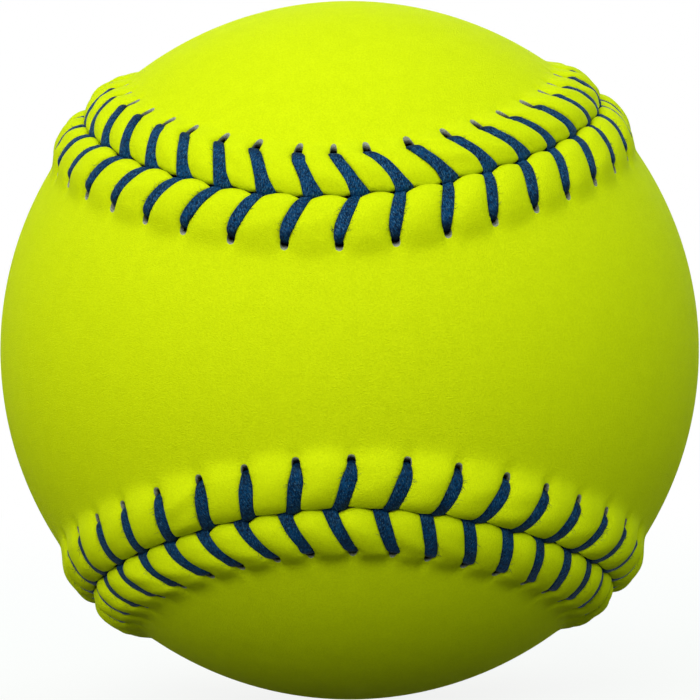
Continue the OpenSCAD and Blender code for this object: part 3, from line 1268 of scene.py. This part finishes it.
        # The fibres are darkened by a fixed share.
        base = parts.add_points(points, lay=marked, crease=np.full(6 * count, self.fuzz_darkening))
        tips = parts.add_points(middle[:, 2], lay=middle[:, 2], crease=np.full(count, self.fuzz_darkening))
        k = np.arange(3)
        beside = (k + 2) % 3
        low = base + 6 * np.arange(count)[:, None]
        parts.add_faces(np.stack([low + k, low + beside, low + 3 + beside, low + 3 + k], axis=-1))
        last = low + 3
        tip = tips + np.arange(count)[:, None] + 0 * k
        parts.add_faces(np.stack([last + k, last + beside, tip], axis=-1))
        parts.add_faces(np.concatenate([low, low + 1, low + 2], axis=-1))


def dye(red: int, green: int, blue: int) -> Colour:
    """Turns a colour as it is seen on a screen into the linear one that a shader takes.

    Args:
        red: From 0 to 255.
        green: From 0 to 255.
        blue: From 0 to 255.

    Returns:
        The linear red, green and blue, and an alpha of 1.
    """
    linear = [
        (c / 255.0 / 12.92) if c <= 10 else ((c / 255.0 + 0.055) / 1.055) ** 2.4
        for c in (red, green, blue)]
    return (*linear, 1.0)


@dataclass
class NodeBench:
    """Adds and joins the nodes of one material or group."""

    tree: bpy.types.NodeTree

    def add(self, kind: str, settings: dict | None = None, **inputs: object) -> bpy.types.Node:
        """Adds a node.

        Args:
            kind: The node's type name, without its ShaderNode prefix.
            settings: Properties of the node itself.
            inputs: Sockets to join or values to set, by the socket's name with _ for spaces.

        Returns:
            The new node.
        """
        prefix = "" if kind.startswith("NodeGroup") else "ShaderNode"
        node = self.tree.nodes.new(prefix + kind)
        for key, value in (settings or {}).items():
            setattr(node, key, value)
        for key, value in inputs.items():
            number = key[1:]
            name = int(number) if key[0] == "n" and number.isdigit() else key.replace("_", " ")
            self.set(node.inputs[name], value)
        return node

    def set(self, socket: Socket, value: object) -> None:
        """Joins a socket to another, or sets its value.

        Args:
            socket: An input socket.
            value: The output socket to join it to, or its own value.
        """
        if isinstance(value, bpy.types.NodeSocket):
            self.tree.links.new(value, socket)
        else:
            socket.default_value = value

    def math(self, operation: str, first: object, second: object = 0.0) -> Socket:
        """Adds a sum and gives its result."""
        return self.add("Math", {"operation": operation}, n0=first, n1=second).outputs[0]

    def mix(self, share: object, first: object, second: object) -> Socket:
        """Adds a mix of two colours.

        Args:
            share: How much of the second colour there is.
            first: The first colour.
            second: The second colour.

        Returns:
            The mixed colour.
        """
        node = self.add("Mix", {"data_type": "RGBA"})
        for number, value in ((0, share), (6, first), (7, second)):
            self.set(node.inputs[number], value)
        return node.outputs[2]

    def remap(self, value: object, low: float, high: float, start: float, end: float) -> Socket:
        """Adds a change from one range of values to another, eased at its ends.

        Args:
            value: The value to change.
            low: Where the first range starts.
            high: Where the first range ends.
            start: What low becomes.
            end: What high becomes.

        Returns:
            The changed value.
        """
        node = self.add(
            "MapRange", {"interpolation_type": "SMOOTHSTEP"},
            Value=value, From_Min=low, From_Max=high, To_Min=start, To_Max=end)
        return node.outputs[0]

    def noise(self, place: Socket, size: object, detail: float = 3.0, rough: float = 0.5) -> Socket:
        """Adds noise whose lumps are about one size across.

        Args:
            place: The place on the piece.
            size: The size of the lumps.
            detail: How many finer layers are added.
            rough: How strong the finer layers are.

        Returns:
            The noise, which varies round 0.5.
        """
        scale = self.math("DIVIDE", 1.0, size)
        node = self.add("TexNoise", Vector=place, Scale=scale, Detail=detail, Roughness=rough)
        return node.outputs["Fac"]


class Groups:
    """The shader effects that more than one finish uses."""

    # The grain: lumps and pebbles in sizes of the grain, and a broad mottling
    lump_size = 1.6
    pebble_span = (0.05, 0.75)
    pebble_share = 0.4
    mottle_size = 14.0
    lump_tone = 0.8
    mottle_tone = 0.2

    # The painted shade: how unevenly it lies
    speck_size = 1.6 * MM
    speck_span = (0.3, 0.7)
    least_shade = 0.4

    def __init__(self) -> None:
        """Builds every group once."""
        self.grain = self.build_grain()
        self.soil = self.build_shade()

    def start(
        self, name: str, inputs: dict[str, object], outputs: dict[str, str]
    ) -> tuple[bpy.types.NodeTree, NodeBench, bpy.types.Node, bpy.types.Node]:
        """Makes an empty group.

        Args:
            name: The group's name.
            inputs: Input names and their values, whose type gives the socket's.
            outputs: Output names and their socket types.

        Returns:
            The group, its bench, its input node and its output node.
        """
        tree = bpy.data.node_groups.new(name, "ShaderNodeTree")
        for key, value in inputs.items():
            kind = "NodeSocketFloat"
            if isinstance(value, tuple):
                kind = "NodeSocketColor" if len(value) == 4 else "NodeSocketVector"
            socket = tree.interface.new_socket(key, in_out="INPUT", socket_type=kind)
            if kind != "NodeSocketVector":
                socket.default_value = value
        for key, kind in outputs.items():
            tree.interface.new_socket(key, in_out="OUTPUT", socket_type=kind)
        bench = NodeBench(tree)
        return tree, bench, bench.add("NodeGroupInput"), bench.add("NodeGroupOutput")

    def build_grain(self) -> bpy.types.NodeTree:
        """Builds a fine pebbled grain with soft mottling.

        Returns:
            The group, with a Height for bumps and a Tone that varies round 0.5.
        """
        tree, bench, given, made = self.start(
            "fine_grain", {"Place": (0.0, 0.0, 0.0), "Size": 0.25 * MM},
            {"Height": "NodeSocketFloat", "Tone": "NodeSocketFloat"})
        place, size = given.outputs["Place"], given.outputs["Size"]
        scale = bench.math("DIVIDE", 1.0, size)
        cells = bench.add("TexVoronoi", Vector=place, Scale=scale, Randomness=0.9)
        lumps = bench.noise(place, bench.math("MULTIPLY", size, self.lump_size), 4.0, 0.62)
        pebble = bench.remap(cells.outputs["Distance"], *self.pebble_span, 1.0, 0.0)
        raised = bench.math("MULTIPLY", pebble, self.pebble_share)
        bench.set(made.inputs["Height"], bench.math("ADD", raised, lumps))
        broad = bench.noise(place, bench.math("MULTIPLY", size, self.mottle_size), 3.0, 0.55)
        fine_tone = bench.math("MULTIPLY", lumps, self.lump_tone)
        broad_tone = bench.math("MULTIPLY", broad, self.mottle_tone)
        bench.set(made.inputs["Tone"], bench.math("ADD", fine_tone, broad_tone))
        return tree

    def build_shade(self) -> bpy.types.NodeTree:
        """Builds painted shade for creases, laid on unevenly by noise.

        Returns:
            The group, which darkens a Color towards its shade colour where the marked share and its own
            noise are high.
        """
        tree, bench, given, made = self.start(
            "painted_crease_shade",
            {"Place": (0.0, 0.0, 0.0), "Color": (0.5, 0.5, 0.5, 1.0), "Crease": 0.0,
             "Soil": (0.05, 0.05, 0.03, 1.0), "Amount": 0.3},
            {"Color": "NodeSocketColor"})
        specks = bench.noise(given.outputs["Place"], self.speck_size, 3.0, 0.6)
        spots = bench.remap(specks, *self.speck_span, self.least_shade, 1.0)
        share = bench.math("MULTIPLY", given.outputs["Crease"], given.outputs["Amount"])
        share = bench.math("MULTIPLY", share, spots)
        bench.set(made.inputs["Color"], bench.mix(share, given.outputs["Color"], given.outputs["Soil"]))
        return tree


@dataclass(frozen=True)
class Finish:
    """A finish with grain, mottled colour and painted shade in its creases."""

    name: str
    light: Colour
    dark: Colour
    soil: Colour
    roughness: float = 0.6
    roughness_spread: float = 0.1
    specular: float = 0.4
    grain_size: float = 0.25 * MM
    grain_depth: float = 0.012 * MM
    shade_amount: float = 0.3
    tone_span: Span = (0.32, 0.68)
    rough_span: Span = (0.3, 0.7)

    def material(self, groups: Groups) -> bpy.types.Material:
        """Makes the material.

        Args:
            groups: The shared shader effects.

        Returns:
            The new material.
        """
        made = bpy.data.materials.new(self.name)
        made.use_nodes = True
        made.node_tree.nodes.clear()
        bench = NodeBench(made.node_tree)
        place = bench.add("TexCoord").outputs["Object"]
        grain = bench.add("Group", {"node_tree": groups.grain}, Place=place, Size=self.grain_size)
        colour, height = self.dress(bench, place, grain)
        # Painted shade: each point's marked share darkens the colour towards the shade colour.
        crease = bench.add("Attribute", {"attribute_name": "crease"}).outputs["Fac"]
        shaded = bench.add(
            "Group", {"node_tree": groups.soil}, Place=place, Color=colour,
            Crease=crease, Soil=self.soil, Amount=self.shade_amount)
        rough = bench.remap(
            grain.outputs["Tone"], *self.rough_span, self.roughness + self.roughness_spread,
            self.roughness - self.roughness_spread)
        bump = bench.add("Bump", Height=height, Distance=self.grain_depth, Strength=1.0)
        shader = bench.add(
            "BsdfPrincipled", Base_Color=shaded.outputs["Color"], Roughness=rough,
            Normal=bump.outputs[0], Specular_IOR_Level=self.specular)
        bench.add("OutputMaterial", Surface=shader.outputs[0])
        return made

    def dress(
        self, bench: NodeBench, place: Socket, grain: bpy.types.Node
    ) -> tuple[Socket, Socket]:
        """Works out the colour and the relief.

        Args:
            bench: The material's bench.
            place: The place on the piece; not used.
            grain: The grain group.

        Returns:
            The colour and the height for bumps.
        """
        share = bench.remap(grain.outputs["Tone"], *self.tone_span, 0.0, 1.0)
        return bench.mix(share, self.dark, self.light), grain.outputs["Height"]


@dataclass(frozen=True)
class ThreadFinish(Finish):
    """Waxed thread: fine fibres that lie at a slant across a flat ribbon, lighter in streaks that are
    partly painted glints of the wax.
    """

    fibre_and_glint: Colour = (0.1, 0.1, 0.1, 1.0)
    fibre_width: float = 0.1 * MM
    fibre_slant: float = 0.55
    fibre_stretch: tuple[float, float, float] = (0.2, 1.0, 1.0)
    fibre_span: Span = (0.5, 0.74)
    fibre_share: float = 0.7
    grain_share: float = 0.25
    tone_span: Span = (0.38, 0.62)

    def dress(
        self, bench: NodeBench, place: Socket, grain: bpy.types.Node
    ) -> tuple[Socket, Socket]:
        """Works out the colour and the relief of the fibres.

        Args:
            bench: The material's bench.
            place: The place on the piece.
            grain: The grain group.

        Returns:
            The colour and the height for bumps.
        """
        lay = bench.add("Attribute", {"attribute_name": "lay"}).outputs["Vector"]
        turned = bench.add(
            "VectorRotate", {"rotation_type": "Z_AXIS"}, Vector=lay, Angle=self.fibre_slant)
        stretched = bench.add(
            "VectorMath", {"operation": "MULTIPLY"}, n0=turned.outputs[0], n1=self.fibre_stretch)
        strands = bench.noise(stretched.outputs[0], self.fibre_width, 3.0, 0.6)
        # Lighter fibres, partly painted glints: the streaks are mixed towards a pale blue.
        glinting_fibres = bench.remap(strands, *self.fibre_span, 0.0, 1.0)
        base, relief = super().dress(bench, place, grain)
        colour = bench.mix(bench.math("MULTIPLY", glinting_fibres, self.fibre_share), base, self.fibre_and_glint)
        height = bench.math("ADD", strands, bench.math("MULTIPLY", relief, self.grain_share))
        return colour, height


@dataclass
class Inside:
    """The core and its cement, which stay as they are packed and only take their finishes."""

    core_node: str = "core"
    cement_node: str = "cement_coat"

    def dress(self, core: bpy.types.Material, cement: bpy.types.Material) -> None:
        """Dresses both pieces.

        Args:
            core: The moulded core's material.
            cement: The rubber cement's material.
        """
        for node, slot, material in (
            (self.core_node, "moulded_core", core),
            (self.cement_node, "rubber_cement", cement),
        ):
            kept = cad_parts[node]
            cover(kept, material)
            log.info("dressed %s", node)


class Ball:
    """The whole ball: its core, cement, leather and threads."""

    def __init__(self, groups: Groups) -> None:
        """Chooses the finishes and lays out the seam.

        Args:
            groups: The shared shader effects.
        """
        self.seam = Seam()
        # The third colour of each finish is painted shade, mixed in where a piece's points are marked
        # for it.
        self.leather = Finish(
            "optic_yellow_leather", dye(224, 234, 12), dye(212, 223, 8), dye(96, 112, 6),
            roughness=0.7, roughness_spread=0.05, specular=0.02, grain_size=0.15 * MM,
            grain_depth=0.085 * MM, shade_amount=0.2).material(groups)
        self.raw_leather = Finish(
            "raw_cut_leather", dye(192, 190, 178), dye(118, 117, 106), dye(58, 66, 34),
            roughness=0.85, specular=0.08, grain_size=0.12 * MM, grain_depth=0.04 * MM,
            shade_amount=1.0).material(groups)
        # The thread's pale fibre colour is partly painted glints of the wax.
        self.thread = ThreadFinish(
            "waxed_navy_thread", dye(1, 66, 115), dye(0, 21, 48), dye(0, 6, 15),
            roughness=0.6, specular=0.06, grain_size=0.16 * MM, grain_depth=0.06 * MM,
            shade_amount=0.85, fibre_and_glint=dye(90, 136, 172)).material(groups)
        self.cement = Finish(
            "rubber_cement", dye(60, 54, 40), dye(44, 40, 30), dye(26, 24, 18),
            roughness=0.6, grain_size=1.2 * MM, grain_depth=0.05 * MM).material(groups)
        self.core = Finish(
            "moulded_core", dye(228, 226, 216), dye(208, 206, 194), dye(150, 148, 138),
            roughness=0.5, grain_size=0.6 * MM, grain_depth=0.02 * MM).material(groups)

    def build(self) -> None:
        """Builds and dresses every piece."""
        panels = {
            Side.FRONT: CoverPanel(self.seam, Side.FRONT, "front_panel"),
            Side.BACK: CoverPanel(
                self.seam, Side.BACK, "back_panel", groove_half=0.92 * MM,
                mouth_extra=0.12 * MM, mouth_swing=0.12 * MM, arm_swing=0.0,
                pinch_half=0.6 * MM, pinch_span=(5.0 * MM, 6.9 * MM),
                hole_from=5.5 * MM, hole_to=8.0 * MM, hole_cut=0.9 * MM),
        }
        for panel in panels.values():
            panel.dress(panel.build(), self.leather, self.raw_leather)
        threads = (
            NeedleThread(self.seam, panels, Side.FRONT, "first_needle_thread"),
            NeedleThread(self.seam, panels, Side.BACK, "second_needle_thread"),
        )
        for thread in threads:
            thread.dress(thread.build(), self.thread)
        Inside().dress(self.core, self.cement)


@dataclass
class Studio:
    """The floor, the lamps, the white surroundings and the camera."""

    ball_radius: float
    floor_side: float = 6.0
    floor_gap: float = 0.1 * MM
    floor_bounce: float = 0.03
    floor_clearness: float = 0.05
    floor_paleness: float = 0.9
    shadow_reach: Span = (0.08, 0.5)
    least_white: float = 0.86
    surround: float = 0.78
    surround_tint: Colour = (0.79, 1.0, 0.89, 1.0)
    camera_distance: float = 460.8 * MM
    camera_turn: tuple[float, float, float] = (0.00685, -0.02317, -0.02826)
    focal_length: float = 169.7
    film_width: float = 36.0
    shift: tuple[float, float] = (0.00053, 0.00033)
    clip: Span = (0.01, 20.0)

    lamps = (
        ("key", 1.55, 0.55, Vector((-0.28, -0.55, 0.75)), (1.0, 0.84, 0.87)),
        ("front", 5.1, 0.5, Vector((-0.12, -1.1, 0.4)), (0.91, 1.0, 0.95)),
        ("left", 2.1, 0.7, Vector((-0.7, -0.9, 0.5)), (0.97, 1.0, 0.92)),
        ("right", 0.65, 0.7, Vector((0.9, -0.6, 0.1)), (0.84, 1.0, 0.9)),
        ("back", 3.8, 0.8, Vector((0.05, 1.2, 0.22)), (1.0, 0.96, 0.92)),
    )

    def build(self) -> None:
        """Builds the whole studio."""
        self.build_floor()
        self.build_world()
        for lamp in self.lamps:
            self.build_lamp(*lamp)
        self.build_camera()
        bpy.context.scene.view_settings.view_transform = "Standard"

    def build_floor(self) -> None:
        """Builds the pale floor, which keeps the ball's shadow and fades to white round it.

        It is white to the camera from above, clear from below, and bounces little light.
        """
        half = self.floor_side / 2.0
        mesh = bpy.data.meshes.new("studio_floor")
        corners = [(-half, -half, 0.0), (half, -half, 0.0), (half, half, 0.0), (-half, half, 0.0)]
        mesh.from_pydata(corners, [], [(0, 1, 2, 3)])
        floor = bpy.data.objects.new("studio_floor", mesh)
        floor.location.z = -self.ball_radius - self.floor_gap
        bpy.context.scene.collection.objects.link(floor)
        made = bpy.data.materials.new("pale_floor")
        made.use_nodes = True
        made.node_tree.nodes.clear()
        bench = NodeBench(made.node_tree)
        seen = self.seen_rays(bench)
        clear = bench.add("BsdfTransparent")
        matt = bench.add("BsdfDiffuse", Color=(*[self.floor_bounce] * 3, 1.0))
        soft = bench.add(
            "MixShader", n0=self.floor_clearness, n1=matt.outputs[0], n2=clear.outputs[0])
        pale = bench.add("BsdfDiffuse", Color=(*[self.floor_paleness] * 3, 1.0))
        white = bench.add("Emission", Color=(1.0, 1.0, 1.0, 1.0), Strength=1.0)
        place = bench.add("TexCoord").outputs["Object"]
        away = bench.add("VectorMath", {"operation": "LENGTH"}, n0=place).outputs["Value"]
        share = bench.remap(away, *self.shadow_reach, self.least_white, 1.0)
        bright = bench.add("MixShader", n0=share, n1=pale.outputs[0], n2=white.outputs[0])
        mixed = bench.add("MixShader", n0=seen, n1=soft.outputs[0], n2=bright.outputs[0])
        under = bench.add("NewGeometry").outputs["Backfacing"]
        shown = bench.add("MixShader", n0=under, n1=mixed.outputs[0], n2=clear.outputs[0])
        bench.add("OutputMaterial", Surface=shown.outputs[0])
        mesh.materials.append(made)

    def seen_rays(self, bench: NodeBench) -> Socket:
        """Tells the rays that show the surroundings from those that light the ball.

        Args:
            bench: The bench of the floor or the world.

        Returns:
            1 for rays from the camera, in gloss or through glass, or else 0.
        """
        path = bench.add("LightPath").outputs
        either = bench.math("MAXIMUM", path["Is Camera Ray"], path["Is Glossy Ray"])
        return bench.math("MAXIMUM", either, path["Is Transmission Ray"])

    def build_world(self) -> None:
        """Builds surroundings that look white and light the ball softly."""
        world = bpy.data.worlds.new("white_surroundings")
        bpy.context.scene.world = world
        world.use_nodes = True
        world.node_tree.nodes.clear()
        bench = NodeBench(world.node_tree)
        seen = self.seen_rays(bench)
        around = bench.add("Background", Color=self.surround_tint, Strength=self.surround)
        white = bench.add("Background", Color=(1.0, 1.0, 1.0, 1.0), Strength=1.0)
        mixed = bench.add("MixShader", n0=seen, n1=around.outputs[0], n2=white.outputs[0])
        bench.add("OutputWorld", Surface=mixed.outputs[0])

    def build_lamp(
        self,
        name: str,
        power: float,
        side: float,
        place: Vector,
        tint: tuple[float, float, float],
    ) -> None:
        """Builds a soft square lamp that looks at the ball.

        Args:
            name: The lamp's name.
            power: Its power in watts.
            side: The length of its sides.
            place: Where it stands.
            tint: The colour of its light, which is nearly white.
        """
        data = bpy.data.lights.new(name, "AREA")
        data.energy = power
        data.color = tint
        data.size = side
        lamp = bpy.data.objects.new(name, data)
        lamp.location = place
        lamp.rotation_euler = (-place).to_track_quat("-Z", "Y").to_euler()
        bpy.context.scene.collection.objects.link(lamp)

    def build_camera(self) -> None:
        """Builds the camera at the photograph's place, which is turned a little."""
        data = bpy.data.cameras.new("camera")
        data.lens = self.focal_length
        data.sensor_width = self.film_width
        data.clip_start, data.clip_end = self.clip
        data.shift_x, data.shift_y = self.shift
        camera = bpy.data.objects.new("camera", data)
        x, y, z = self.camera_turn
        turn = Matrix.Rotation(z, 4, "Z") @ Matrix.Rotation(y, 4, "Y") @ Matrix.Rotation(x, 4, "X")
        upright = Matrix.Rotation(math.pi / 2.0, 4, "X")
        back = Matrix.Translation((0.0, -self.camera_distance, 0.0))
        camera.matrix_world = turn.inverted() @ back @ upright
        bpy.context.scene.collection.objects.link(camera)
        bpy.context.scene.camera = camera


def main() -> None:
    """Builds the ball and its studio."""
    logging.basicConfig(level=logging.INFO, format="%(name)s: %(message)s")
    groups = Groups()
    ball = Ball(groups)
    ball.build()
    Studio(ball.seam.radius).build()
    log.info("built the studio")


if __name__ == "__main__":
    main()
